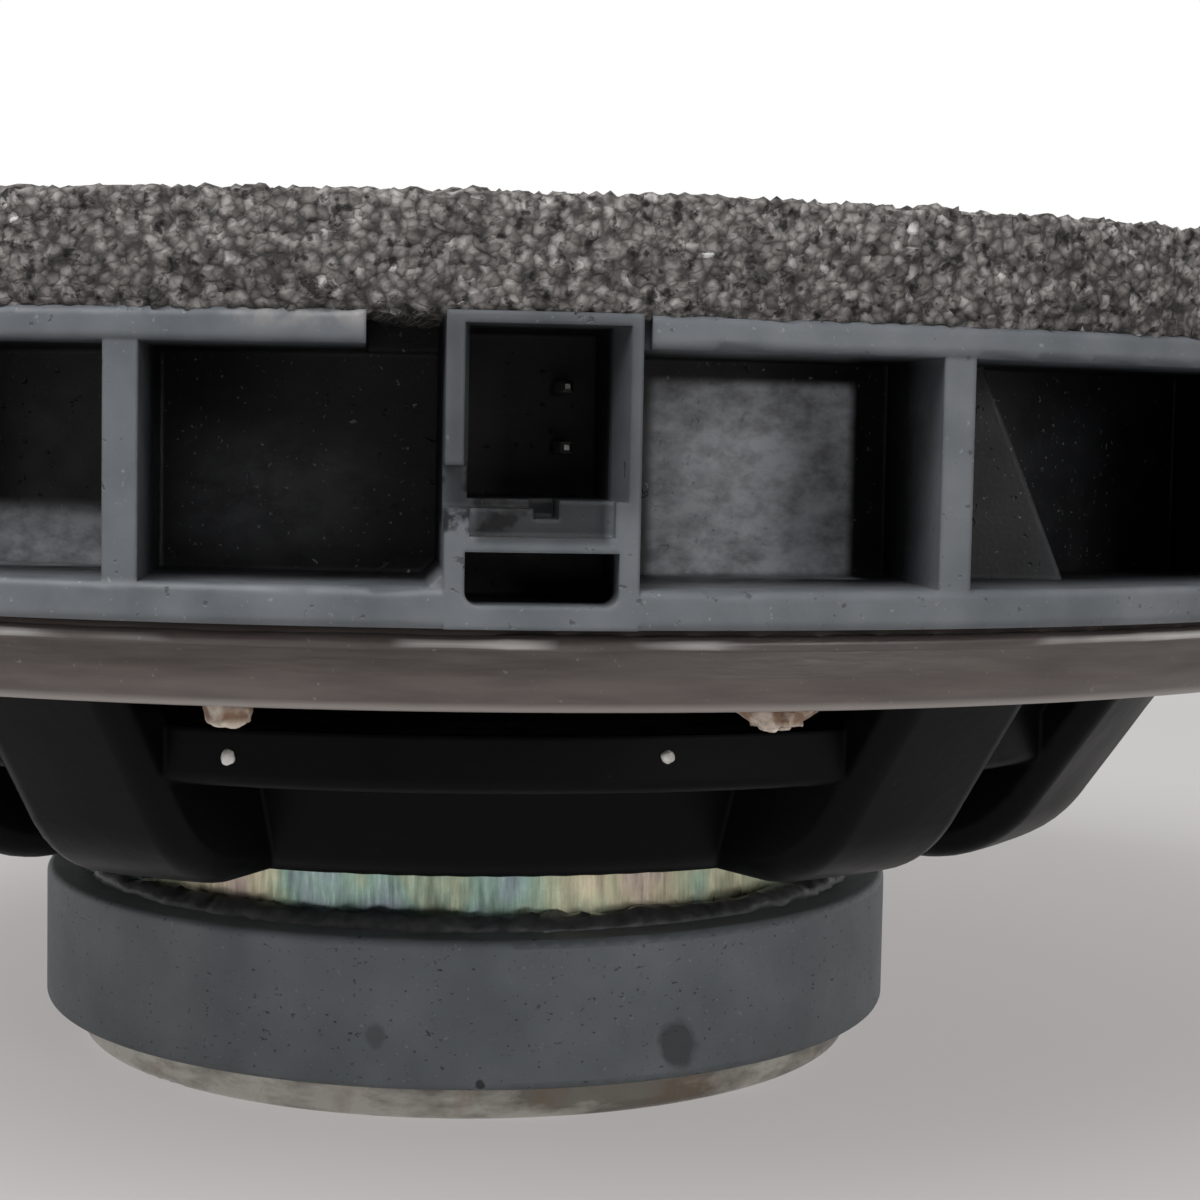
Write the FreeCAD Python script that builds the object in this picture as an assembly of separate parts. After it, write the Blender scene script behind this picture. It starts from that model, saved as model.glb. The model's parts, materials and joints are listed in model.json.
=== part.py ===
"""Car door speaker: a foam-faced mounting ring that carries a pressed steel basket, a cone and a magnet.

The speaker stands on its magnet, with the listening side up. The origin is the middle of the yoke's
underside, and the plug socket faces -Y. All sizes are in millimetres.
"""
import FreeCAD, Part
import math
import os

Vector = FreeCAD.Vector
ORIGIN = Vector(0, 0, 0)
UP = Vector(0, 0, 1)

# Clearances
running_gap = 0.6
glue_gap = 0.1
seat_gap = 0.3
hairline = 0.01
overcut = 1.0

# Magnet stack
yoke_radius = 36.7
yoke_thickness = 3.4
yoke_edge = 1.1
pole_radius = 12.0
magnet_radius = 40.0
magnet_bore = 20.0
magnet_thickness = 12.3
magnet_edge = 0.7
top_plate_radius = 33.8
top_plate_thickness = 6.1
top_plate_edge = 0.5

# Pressed steel basket
sheet = 1.0
basket_height = 23.0
flange_radius = 77.8
flange_inner_radius = 61.5
floor_hole_radius = 19.0
floor_radius = 46.5
floor_corner = 3.0
shelf_radius = 49.5
shelf_height = 9.0
rim_radius = 61.5
rim_height = 4.2
rim_corner = 0.9
arm_angle = 40.5
leg_spread = 10.5
leg_width = 13.5
leg_depth = 5.0
leg_top_radius = 73.0
leg_foot_radius = 56.8
leg_heel_radius = 44.0
leg_elbow = 12.0
leg_edge = 2.0

# Moulded mounting ring
ring_radius = 89.3
ring_height = 18.4
ring_edge = 0.5
top_flange = 2.0
bottom_flange = 2.4
wall_radius = 74.5
wall_thickness = 2.2
seat_radius = 66.5
rib_thickness = 2.1
rib_pitch = 24.95
ribs_each_side = 2
ear_count = 4
ear_first_angle = 45.0
ear_circle_radius = 97.0
ear_radius = 7.5
ear_thickness = 6.0
ear_edge = 0.8
ear_hole = 5.5
ear_neck = 3.0

# Gusset beside the socket's right-hand pocket
gusset_foot = 9.5
gusset_head = 3.7
gusset_thickness = 1.5
gusset_setback = 12.3

# Plug socket in the ring
socket_offset = -0.45
socket_width = 8.5
socket_height = 10.2
socket_floor = 7.5
socket_depth = 13.5
socket_wall = 1.45
key_width = 1.5
key_depth = 6.0
key_height = 1.1
key_offset = 0.3
ledge_height = 2.1
ledge_setback = 1.5
lead_in_right = 0.8
lead_in_left = 0.4
lead_in_depth = 3.2
pocket_corner = 0.9
latch_notch = 2.0
latch_notch_depth = 4.0
slot_width = 9.0
slot_height = 3.1
slot_floor = 1.4
slot_depth = 11.0
slot_corner = 0.8
flange_gap_width = 4.6
relief_width = 0.5
relief_depth = 1.6

# Contact strips
pin_offset = 1.9
pin_heights = (10.6, 14.3)
pin_length = 6.6
pin_size = 0.7
pin_point = 0.2
strip_width = 1.5
strip_thickness = 0.8
strip_stand_off = 0.7
strip_drop = 4.5
strip_spread = 5.5
insulation_gap = 1.2

# Rubber seal and foam
seal_inner_radius = 78.2
seal_outer_radius = 85.6
seal_height = 5.5
seal_top_edge = 1.2
seal_nose = 2.4
seal_inner_edge = 1.0
foam_width = 15.3
foam_height = 7.0
foam_edge = 0.8

# Rivets between basket and ring
rivet_angles = (15.0, 90.0, 165.0, 195.0, 270.0, 345.0)
rivet_circle_radius = 69.4
rivet_shank_radius = 1.3
rivet_head_radius = 2.1
rivet_head_height = 0.9
rivet_crown = 0.7

# Cone assembly and its suspension
former_thickness = 0.3
winding_thickness = 0.8
winding_height = 10.0
former_tail = 1.0
cone_thickness = 0.6
cone_bend_radius = 36.0
cone_bend_drop = 6.0
cone_bend_curve = 80.0
cone_drop = 10.4
cone_land = 3.0
surround_thickness = 0.8
roll_radius = 4.0
cap_radius = 17.0
cap_rise = 5.0
cap_thickness = 0.6
spider_thickness = 0.5
spider_land = 7.0
spider_waves = 7
spider_wave_height = 2.2
spider_collar = 3.0

# Flexible leads, as points (sideways, outwards, below the ring's back face)
lead_diameter = 1.2
lead_bend = 0.45
lead_points = (
    (5.6, 65.5, 3.9),
    (6.6, 60.0, 6.2),
    (7.4, 53.5, 8.4),
    (7.8, 47.0, 8.9),
    (8.0, 40.3, 7.4),
)
anchor_radius = 2.0
anchor_height = 2.2

# Bits of hardened glue, as the angles of each bit's blobs from the socket
drip_angles = ((-13.3,), (11.2, 12.8))
drip_circle_radius = 80.9
drip_radius = 1.6
drip_drop = 1.5
drip_edge = 0.6

# Levels that follow from the stack
magnet_floor = yoke_thickness
top_plate_floor = magnet_floor + magnet_thickness
basket_floor = top_plate_floor + top_plate_thickness
ring_floor = basket_floor + basket_height
ring_top = ring_floor + ring_height
shelf_top = basket_floor + shelf_height + sheet
rim_top = basket_floor + shelf_height + rim_height
leg_lean = (leg_top_radius - leg_foot_radius) / basket_height
arm_angles = (arm_angle, 180 - arm_angle, 180 + arm_angle, 360 - arm_angle)
former_inner = pole_radius + running_gap
former_outer = former_inner + former_thickness
winding_outer = former_outer + winding_thickness
roll_outer = flange_inner_radius + sheet / 2
roll_inner = roll_outer - 2 * roll_radius
cone_radius = roll_inner + surround_thickness
cone_edge_top = ring_floor - glue_gap
wall_inner = wall_radius - wall_thickness


def outline(corners):
    """Closed wire in the XZ plane through (radius, height) corners, each with an optional fillet."""
    points = [Vector(corner[0], 0, corner[1]) for corner in corners]
    stretches = []
    for index, corner in enumerate(corners):
        here = points[index]
        fillet = corner[2] if len(corner) == 3 else 0
        if fillet == 0:
            stretches.append((here, None, here))
            continue
        back = (points[index - 1] - here).normalize()
        onward = (points[(index + 1) % len(points)] - here).normalize()
        half_angle = back.getAngle(onward) / 2
        reach = fillet / math.tan(half_angle)
        middle = (back + onward).normalize()
        crown = here + middle * (fillet / math.sin(half_angle) - fillet)
        stretches.append((here + back * reach, crown, here + onward * reach))
    edges = []
    for index, (start, crown, end) in enumerate(stretches):
        if crown is not None:
            edges.append(Part.Arc(start, crown, end).toShape())
        following = stretches[(index + 1) % len(stretches)][0]
        if end.distanceToPoint(following) > 1e-6:
            edges.append(Part.LineSegment(end, following).toShape())
    return Part.Wire(edges)


def turned(corners):
    """Solid of revolution about the speaker's axis."""
    return Part.Face(outline(corners)).revolve(ORIGIN, UP, 360)


def plate(corners, front, thickness):
    """Flat plate whose outline lies in XZ, from y = front towards +Y."""
    face = Part.Face(outline(corners))
    face.translate(Vector(0, front, 0))
    return face.extrude(Vector(0, thickness, 0))


def block(x_span, y_span, z_span):
    """Box between the two ends of each span."""
    size = [abs(span[1] - span[0]) for span in (x_span, y_span, z_span)]
    return Part.makeBox(*size, Vector(min(x_span), min(y_span), min(z_span)))


def around(shape, angle):
    """Copy turned about the axis, with angles measured from the socket towards +X."""
    copy = shape.copy()
    copy.rotate(ORIGIN, UP, angle)
    return copy


def pattern(shape, count, first_angle):
    """Copies spaced evenly about the axis."""
    return [around(shape, first_angle + index * 360.0 / count) for index in range(count)]


def washer(inner, outer, floor, top, edge):
    """Flat ring with rounded outer edges."""
    return turned([(inner, floor), (outer, floor, edge), (outer, top, edge), (inner, top)])


def yoke():
    """Back plate and pole in one piece."""
    return turned([
        (0, 0), (yoke_radius, 0, yoke_edge), (yoke_radius, yoke_thickness, yoke_edge / 2),
        (pole_radius, yoke_thickness), (pole_radius, basket_floor), (0, basket_floor)])


def magnet():
    return washer(magnet_bore, magnet_radius, magnet_floor, top_plate_floor, magnet_edge)


def top_plate():
    bore = winding_outer + running_gap
    return washer(bore, top_plate_radius, top_plate_floor, basket_floor, top_plate_edge)


def basket_pot():
    """Floor, wall, spider shelf and upturned rim, as one pressed section."""
    shelf = basket_floor + shelf_height
    return turned([
        (rim_radius, rim_top), (rim_radius, shelf, rim_corner), (shelf_radius, shelf),
        (floor_radius, basket_floor, floor_corner), (floor_hole_radius, basket_floor),
        (floor_hole_radius, basket_floor + sheet),
        (floor_radius - sheet, basket_floor + sheet, floor_corner - sheet),
        (shelf_radius - sheet, shelf + sheet), (rim_radius - sheet, shelf + sheet),
        (rim_radius - sheet, rim_top)])


def leg_edges(solid, half_width):
    """Edges that run along a leg's outer face, on its two flat sides."""
    found = []
    for edge in solid.Edges:
        box = edge.BoundBox
        on_side = box.XLength < hairline and abs(abs(box.Center.x) - half_width) < hairline
        middle = edge.valueAt((edge.FirstParameter + edge.LastParameter) / 2)
        leg_line = leg_top_radius + leg_lean * (middle.z - ring_floor)
        on_face = math.hypot(middle.x, middle.y) > leg_line - leg_elbow / 4
        if on_side and on_face and middle.z < ring_floor - sheet:
            found.append(edge)
    return found


def leg_radius(level, inset):
    """Radius of a leg's leaning outer face, or of its inner face one sheet further in."""
    return leg_top_radius - inset * math.hypot(1, leg_lean) + leg_lean * (level - ring_floor)


def leg_form(inset, inner_corners):
    """Solid leg at the socket's angle, with rounded outer edges."""
    top = ring_floor - sheet / 2
    bottom = basket_floor + inset
    corners = [(leg_radius(top, inset), top), (leg_radius(bottom, inset), bottom, leg_elbow - inset)]
    half_width = leg_width / 2 - inset
    slab = block((-half_width, half_width), (-ring_radius, 0), (0, ring_top))
    form = turned(corners + inner_corners).common(slab)
    return form.makeFillet(leg_edge - inset, leg_edges(form, half_width))


def basket_leg():
    """Leg pressed outwards as a channel, open towards the cone, with its foot in the pot's wall."""
    top = ring_floor - sheet / 2
    floor = basket_floor + sheet / 2
    shelf = floor + shelf_height
    side = rim_radius - sheet / 2
    inner = leg_radius(top, 0) - leg_depth
    inside = turned([
        (0, floor), (floor_radius - sheet / 2, floor, floor_corner - sheet / 2),
        (shelf_radius - sheet / 2, shelf), (side, shelf), (side, rim_top), (inner, top),
        (inner, ring_top), (0, ring_top)])
    skin = leg_form(0, [(leg_heel_radius, basket_floor), (leg_heel_radius, top)]).cut(inside)
    hollow = leg_form(sheet, [(floor_hole_radius, basket_floor + sheet), (floor_hole_radius, top)])
    return skin.cut(hollow)


def arm_web():
    """Leaning wall between an arm's two legs, from the pot's rim to the flange."""
    top = ring_floor - sheet / 2
    shift = leg_lean * (top - rim_top)
    wall = turned([
        (rim_radius - sheet, rim_top), (rim_radius, rim_top), (rim_radius + shift, top),
        (rim_radius - sheet + shift, top)])
    half_angle = leg_spread - math.degrees(math.asin((leg_width - sheet) / 2 / leg_top_radius))
    sector = Part.makeCylinder(ring_radius, ring_top, ORIGIN, UP, 2 * half_angle)
    return wall.common(around(sector, -90 - half_angle))


def basket():
    flange = washer(flange_inner_radius, flange_radius, ring_floor - sheet, ring_floor, 0)
    leg = basket_leg()
    arm = [around(leg, -leg_spread), around(leg, leg_spread), arm_web()]
    arms = [around(shape, angle) for angle in arm_angles for shape in arm]
    frame = flange.fuse([basket_pot()] + arms)
    notch_half = strip_spread + strip_width / 2 + insulation_gap
    strip_back = wall_inner - strip_stand_off - strip_thickness
    notch = block((-notch_half, notch_half), (-flange_radius - sheet, -strip_back + insulation_gap),
                  (ring_floor - 2 * sheet, ring_floor + sheet))
    return frame.cut([notch] + rivet_shanks()).removeSplitter()


def rivet_shanks():
    place = Vector(0, -rivet_circle_radius, ring_floor - sheet)
    shank = Part.makeCylinder(rivet_shank_radius, sheet + bottom_flange, place)
    return [around(shank, angle) for angle in rivet_angles]


def flange_rivets():
    """Round-headed rivets through the basket's flange and the ring's seat."""
    low = -sheet
    high = bottom_flange
    rivet = turned([
        (0, low - rivet_head_height), (rivet_head_radius, low - rivet_head_height, rivet_crown),
        (rivet_head_radius, low), (rivet_shank_radius, low), (rivet_shank_radius, high),
        (rivet_head_radius, high), (rivet_head_radius, high + rivet_head_height, rivet_crown),
        (0, high + rivet_head_height)])
    rivet.translate(Vector(0, -rivet_circle_radius, ring_floor))
    return Part.makeCompound([around(rivet, angle) for angle in rivet_angles])


def ring_channel():
    """Spool section of the ring: seat, wall and two flanges."""
    low = ring_floor + bottom_flange
    high = ring_top - top_flange
    return turned([
        (seat_radius, ring_floor), (ring_radius, ring_floor, ring_edge), (ring_radius, low, ring_edge),
        (wall_radius, low), (wall_radius, high), (ring_radius, high, ring_edge),
        (ring_radius, ring_top, ring_edge), (wall_inner, ring_top), (wall_inner, low), (seat_radius, low)])


def ring_ribs():
    """Upright ribs, parallel within each quarter, as the slides of the mould leave them."""
    rim = washer(wall_radius - wall_thickness / 2, ring_radius - ring_edge / 2, ring_floor, ring_top,
                 ring_edge)
    ribs = []
    for quarter in range(4):
        for step in range(-ribs_each_side, ribs_each_side + 1):
            if quarter == 0 and step == 0:
                continue
            middle = step * rib_pitch
            rib = block((middle - rib_thickness / 2, middle + rib_thickness / 2), (-ring_radius, 0),
                        (ring_floor + ring_edge, ring_top - ring_edge))
            ribs.append(around(rib.common(rim), quarter * 90))
    return ribs


def ring_ear():
    """Screw ear at the socket's angle, with its neck inside the channel."""
    ear = washer(0, ear_radius, ring_floor, ring_floor + ear_thickness, ear_edge)
    ear.translate(Vector(0, -ear_circle_radius, 0))
    neck = block((-ear_radius, ear_radius), (-ear_circle_radius, -ring_radius + ear_neck),
                 (ring_floor, ring_floor + ear_thickness))
    return ear.fuse(neck)


def ear_bore():
    place = Vector(0, -ear_circle_radius, ring_floor - ear_thickness)
    return Part.makeCylinder(ear_hole / 2, 3 * ear_thickness, place)


def gusset():
    """Tapered web in the corner between a rib and the ring's lower flange."""
    corner = rib_pitch + rib_thickness / 2
    low = ring_floor + bottom_flange
    high = ring_top - top_flange
    front = -math.sqrt(ring_radius ** 2 - corner ** 2) + gusset_setback
    return plate([(corner, low), (corner + gusset_foot, low), (corner + gusset_head, high), (corner, high)],
                 front, gusset_thickness)


def socket_shell():
    half = socket_width / 2 + socket_wall
    shell = block((socket_offset - half, socket_offset + half), (-ring_radius, -wall_inner),
                  (ring_floor, ring_top))
    return shell.common(Part.makeCylinder(ring_radius, ring_top))


def socket_cuts():
    """Plug cavity, key, stepped ledge, latch notch, lower slot and the flange's gaps."""
    left = socket_offset - socket_width / 2
    right = socket_offset + socket_width / 2
    outer_left = left - socket_wall
    outer_right = right + socket_wall
    front = -ring_radius - overcut
    mouth = -ring_radius
    floor = ring_floor + socket_floor
    cavity = block((left, right), (front, mouth + socket_depth), (floor, floor + socket_height))
    throat = mouth + lead_in_depth
    plan = [
        (left - lead_in_left, front), (right + lead_in_right, front), (right + lead_in_right, mouth),
        (right, throat), (left, throat), (left - lead_in_left, mouth)]
    plan_points = [Vector(x, y, floor) for x, y in plan]
    lead_in = Part.Face(Part.makePolygon(plan_points + plan_points[:1]))
    flare = lead_in.extrude(Vector(0, 0, socket_height))
    key_middle = socket_offset + key_offset
    key = block((key_middle - key_width / 2, key_middle + key_width / 2), (front, mouth + key_depth),
                (floor - key_height, floor + key_height))
    ledge = block((left, right), (front, mouth + ledge_setback),
                  (floor - ledge_height, floor + ledge_height))
    notch = block((outer_left - overcut, socket_offset), (front, mouth + latch_notch_depth),
                  (floor - latch_notch / 4, floor + latch_notch))
    base = ring_floor + slot_floor
    slot_left = socket_offset - slot_width / 2
    slot_right = socket_offset + slot_width / 2
    slot = plate([
        (slot_left, base, slot_corner), (slot_right, base, slot_corner), (slot_right, base + slot_height),
        (slot_left, base + slot_height)], front, slot_depth)
    under_top = ring_top - top_flange - ring_edge
    gap = block((outer_left - flange_gap_width, outer_left), (front, -wall_radius),
                (under_top, ring_top + overcut))
    relief = block((outer_right, outer_right + relief_width), (front, mouth + relief_depth),
                   (under_top, ring_top + overcut))
    return [cavity, flare, key, ledge, notch, slot, gap, relief]


def terminal(height, side):
    """Contact strip: a pointed pin in the socket, a jog behind the wall and a lug under the seat."""
    level = ring_floor + height
    half = strip_width / 2
    pin_half = pin_size / 2
    tip = -ring_radius + socket_depth - pin_length
    back = -(wall_inner - strip_stand_off)
    middle = socket_offset + pin_offset
    drop = side * strip_spread
    pin = block((middle - pin_half, middle + pin_half), (tip, back + strip_thickness),
                (level - pin_half, level + pin_half))
    tip_edges = [edge for edge in pin.Edges if edge.BoundBox.YMax < tip + pin_point]
    pin = pin.makeChamfer(pin_point, tip_edges)
    reach = (min(middle, drop) - half, max(middle, drop) + half)
    jog = block(reach, (back, back + strip_thickness), (level - half, level + half))
    leg = block((drop - half, drop + half), (back, back + strip_thickness),
                (ring_floor - strip_drop, level + half))
    return pin.fuse([jog, leg]).removeSplitter()


def terminals():
    return {"terminal_lower": terminal(pin_heights[0], -1), "terminal_upper": terminal(pin_heights[1], 1)}


def pocket_corner_web():
    """Sloping corner between the ring's lower flange and the socket's left wall."""
    side = socket_offset - socket_width / 2 - socket_wall
    low = ring_floor + bottom_flange
    root = low - bottom_flange / 2
    inside = side + socket_wall / 2
    web = plate([
        (side - pocket_corner, root), (inside, root), (inside, low + pocket_corner),
        (side, low + pocket_corner), (side - pocket_corner, low)], -ring_radius, ring_radius - wall_inner)
    return web.common(Part.makeCylinder(ring_radius - ring_edge, ring_top))


def mounting_ring():
    ears = pattern(ring_ear(), ear_count, ear_first_angle)
    body = ring_channel().fuse(ring_ribs() + [socket_shell(), gusset(), pocket_corner_web()] + ears)
    wall_bore = Part.makeCylinder(wall_inner, ring_height, Vector(0, 0, ring_floor + bottom_flange))
    cuts = socket_cuts() + pattern(ear_bore(), ear_count, ear_first_angle)
    cuts += rivet_shanks() + list(terminals().values())
    return body.cut([wall_bore] + cuts).removeSplitter()


def rear_seal():
    low = ring_floor - seal_height
    return turned([
        (seal_inner_radius, ring_floor), (seal_outer_radius, ring_floor, seal_top_edge),
        (seal_outer_radius, low, seal_nose), (seal_inner_radius, low, seal_inner_edge)])


def foam_gasket():
    return washer(ring_radius - foam_width, ring_radius, ring_top, ring_top + foam_height, foam_edge)


def surround():
    """Half roll between the basket's flange and the cone's edge."""
    middle = roll_inner + roll_radius
    level = Vector(0, 0, ring_floor)
    upper_side = Part.makeCylinder(ring_radius, ring_height, level)
    roll = Part.makeTorus(middle, roll_radius, level).common(upper_side)
    hollow = Part.makeTorus(middle, roll_radius - surround_thickness, level)
    lands = washer(roll_inner - cone_land, seat_radius - seat_gap, ring_floor,
                   ring_floor + surround_thickness, 0)
    return roll.fuse(lands).cut(hollow).removeSplitter()


def cone_level(radius):
    """Height of the cone's upper face along its straight stretches."""
    bend_level = cone_edge_top - cone_bend_drop
    if radius > cone_bend_radius:
        share = (radius - cone_bend_radius) / (cone_radius - cone_bend_radius)
        return bend_level + share * cone_bend_drop
    share = (cone_bend_radius - radius) / (cone_bend_radius - former_outer)
    return bend_level - share * (cone_drop - cone_bend_drop)


def cone():
    upper = [
        (cone_radius, cone_edge_top), (cone_radius - cone_land, cone_edge_top, cone_land / 2),
        (cone_bend_radius, cone_level(cone_bend_radius), cone_bend_curve),
        (former_outer, cone_level(former_outer))]
    lower = [(corner[0], corner[1] - cone_thickness) + corner[2:] for corner in reversed(upper)]
    return turned(upper + lower)


def dust_cap():
    ball = (cap_radius ** 2 + cap_rise ** 2) / (2 * cap_rise)
    rim = cone_level(cap_radius) + glue_gap
    middle = Vector(0, 0, rim + cap_rise - ball)
    shell = Part.makeSphere(ball, middle).cut(Part.makeSphere(ball - cap_thickness, middle))
    return shell.common(Part.makeCylinder(cap_radius, 2 * cap_rise, Vector(0, 0, rim)))


def winding_span():
    middle = top_plate_floor + top_plate_thickness / 2
    return middle - winding_height / 2, middle + winding_height / 2


def coil_former():
    low = winding_span()[0] - former_tail
    top = cone_level(former_outer)
    return turned([(former_inner, low), (former_outer, low), (former_outer, top), (former_inner, top)])


def voice_coil():
    low, high = winding_span()
    return washer(former_outer, winding_outer, low, high, winding_thickness / 4)


def spider():
    """Corrugated disc from the shelf to the former."""
    outer = rim_radius - sheet - seat_gap
    inner = former_outer + glue_gap
    start = outer - spider_land
    step = (start - inner - spider_collar) / (2 * spider_waves)
    upper = [(outer, shelf_top + spider_thickness), (start, shelf_top + spider_thickness)]
    for index in range(1, 2 * spider_waves):
        lift = spider_wave_height if index % 2 else 0
        upper.append((start - index * step, shelf_top + spider_thickness + lift, step / 3))
    upper += [(inner + spider_collar, shelf_top + spider_thickness), (inner, shelf_top + spider_thickness)]
    lower = [(corner[0], corner[1] - spider_thickness) + corner[2:] for corner in reversed(upper)]
    return turned(upper + lower)


def lead(side):
    """Round lead along straight runs joined by tangent arcs."""
    start_y = -(wall_inner - strip_stand_off - strip_thickness)
    route = [Vector(side * strip_spread, start_y, ring_floor - strip_drop + strip_width)]
    route += [Vector(side * x, -y, ring_floor - z) for x, y, z in lead_points]
    edges = []
    here = route[0]
    for index in range(1, len(route) - 1):
        back = route[index - 1] - route[index]
        onward = route[index + 1] - route[index]
        half_angle = back.getAngle(onward) / 2
        reach = lead_bend * min(back.Length, onward.Length)
        radius = reach * math.tan(half_angle)
        middle = (back.normalize() + onward.normalize()).normalize()
        start = route[index] + back * reach
        crown = route[index] + middle * (radius / math.sin(half_angle) - radius)
        end = route[index] + onward * reach
        edges.append(Part.LineSegment(here, start).toShape())
        edges.append(Part.Arc(start, crown, end).toShape())
        here = end
    edges.append(Part.LineSegment(here, route[-1]).toShape())
    path = Part.Wire(edges)
    section = Part.Wire(Part.makeCircle(lead_diameter / 2, route[0], route[1] - route[0]))
    return path.makePipeShell([section], True, True)


def lead_anchors():
    """Dots under the cone where the leads end."""
    side, outwards, below = lead_points[-1]
    place_y = -(outwards - seat_gap - anchor_radius)
    top = cone_level(math.hypot(side, place_y) - anchor_radius) - cone_thickness - glue_gap
    dots = []
    for sign in (-1, 1):
        dot = turned([
            (0, top), (anchor_radius, top), (anchor_radius, top - anchor_height, anchor_radius / 3),
            (0, top - anchor_height)])
        dot.translate(Vector(sign * side, place_y, 0))
        dots.append(dot)
    return Part.makeCompound(dots)


def adhesive_drips():
    top = ring_floor - seal_height
    low = top - drip_drop
    blob = turned([(0, top), (drip_radius, top), (drip_radius, low, drip_edge), (0, low)])
    blob.translate(Vector(0, -drip_circle_radius, 0))
    drips = []
    for angles in drip_angles:
        drip = around(blob, angles[0]).fuse([around(blob, angle) for angle in angles])
        drips.append(drip.removeSplitter())
    return Part.makeCompound(drips)


def main():
    parts = {
        "yoke": yoke(), "magnet": magnet(), "top_plate": top_plate(), "basket": basket(),
        "flange_rivets": flange_rivets(), "mounting_ring": mounting_ring(), "rear_seal": rear_seal(),
        "foam_gasket": foam_gasket(), "surround": surround(), "cone": cone(), "dust_cap": dust_cap(),
        "coil_former": coil_former(), "voice_coil": voice_coil(), "spider": spider(),
        "lead_left": lead(-1), "lead_right": lead(1), "lead_anchors": lead_anchors(),
        "adhesive_drips": adhesive_drips()}
    parts.update(terminals())
    os.makedirs("parts", exist_ok=True)
    for name, shape in parts.items():
        print(name, shape.isValid(), len(shape.Solids), round(shape.Volume, 1))
        shape.exportStep("parts/" + name + ".step")


main()
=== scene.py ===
# %% [markdown]
# # A car door speaker
#
# The speaker lies on its magnet with the foam ring up. The imported solids already have the right sizes and
# places, so this lesson is about what makes them look real: the coarse foam, the satin moulded ring, the
# rubber seal, the black pressed basket, the zinc-plated plate and the grey ferrite magnet.
# The first cell loads the solids as a fixed frame.

# %% Load the frame
import bmesh
import bpy
import json
import math
from mathutils import Matrix, Vector
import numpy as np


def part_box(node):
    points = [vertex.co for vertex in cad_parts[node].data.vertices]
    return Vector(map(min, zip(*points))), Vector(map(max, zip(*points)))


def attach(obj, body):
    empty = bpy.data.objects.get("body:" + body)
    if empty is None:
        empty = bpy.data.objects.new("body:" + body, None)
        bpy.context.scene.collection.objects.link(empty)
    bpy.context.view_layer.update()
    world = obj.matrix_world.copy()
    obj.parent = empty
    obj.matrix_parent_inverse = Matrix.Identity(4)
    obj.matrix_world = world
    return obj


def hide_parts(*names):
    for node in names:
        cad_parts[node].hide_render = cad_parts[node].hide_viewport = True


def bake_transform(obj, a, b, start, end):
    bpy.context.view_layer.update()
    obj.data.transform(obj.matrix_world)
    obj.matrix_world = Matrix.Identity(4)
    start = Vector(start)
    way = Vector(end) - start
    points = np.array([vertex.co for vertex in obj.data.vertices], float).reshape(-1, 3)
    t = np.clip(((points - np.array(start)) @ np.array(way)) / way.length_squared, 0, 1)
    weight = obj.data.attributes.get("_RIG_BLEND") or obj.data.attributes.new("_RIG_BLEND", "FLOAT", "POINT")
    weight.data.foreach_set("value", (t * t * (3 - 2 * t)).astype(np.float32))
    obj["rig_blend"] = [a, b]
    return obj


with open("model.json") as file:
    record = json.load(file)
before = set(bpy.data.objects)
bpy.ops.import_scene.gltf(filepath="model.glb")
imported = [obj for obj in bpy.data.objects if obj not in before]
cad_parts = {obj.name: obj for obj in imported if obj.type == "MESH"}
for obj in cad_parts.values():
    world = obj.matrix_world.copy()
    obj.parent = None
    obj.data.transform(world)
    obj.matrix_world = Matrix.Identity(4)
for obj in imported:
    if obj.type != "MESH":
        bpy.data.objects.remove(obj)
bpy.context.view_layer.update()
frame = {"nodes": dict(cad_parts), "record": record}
nodes = frame["nodes"]
MM = 0.001
print("nodes:", ", ".join(sorted(nodes)))

# %% [markdown]
# The photograph was taken close up, a little above the magnet and slightly left of the plug socket. A camera
# is turned in three steps, as on a tripod head: roll about its own line of sight, then tilt, then heading.

# %% Camera
CAMERA_PLACE = Vector((-10.95, -221.8, 55.75)) * MM
HEADING, TILT, ROLL = math.radians(5.98), math.radians(3.92), math.radians(1.05)
LENS = 69.0
NEAREST_SEEN = 10 * MM
bpy.ops.object.select_all(action="DESELECT")
bpy.ops.object.camera_add(location=CAMERA_PLACE)
camera = bpy.context.object
heading = Matrix.Rotation(-HEADING, 3, "Z")
tilt = Matrix.Rotation(math.pi / 2 - TILT, 3, "X")
roll = Matrix.Rotation(ROLL, 3, "Z")
camera.rotation_euler = (heading @ tilt @ roll).to_euler()
camera.data.lens = LENS
camera.data.clip_start = NEAREST_SEEN
scene = bpy.context.scene
scene.camera = camera
scene.view_settings.view_transform = "Standard"
print("camera at", [round(value / MM) for value in camera.location], "mm with a lens of", LENS, "mm")

# %% [markdown]
# Every finish is a small tree of nodes around one Principled shader. These helpers keep the trees readable:
# one turns a colour picked on a screen into the linear values that shaders use, and the others add a node,
# a noise, a colour ramp, a mix or a bump. All patterns read Object coordinates in metres, so a scale of 1000
# gives features about a millimetre wide, and they stay on the piece when it moves.
# A stretch squeezes a pattern along one axis: a small Z makes upright streaks, a large Z lying ones.

# %% Helpers for finishes
MIX_SHARE, MIX_FIRST, MIX_SECOND, MIX_COLOUR = 0, 6, 7, 2


def paint(red, green, blue):
    """Screen colour from 0 to 255 as linear values."""
    shares = [part / 255 for part in (red, green, blue)]
    linear = [share / 12.92 if share <= 0.04045 else ((share + 0.055) / 1.055) ** 2.4 for share in shares]
    return (*linear, 1.0)


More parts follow.
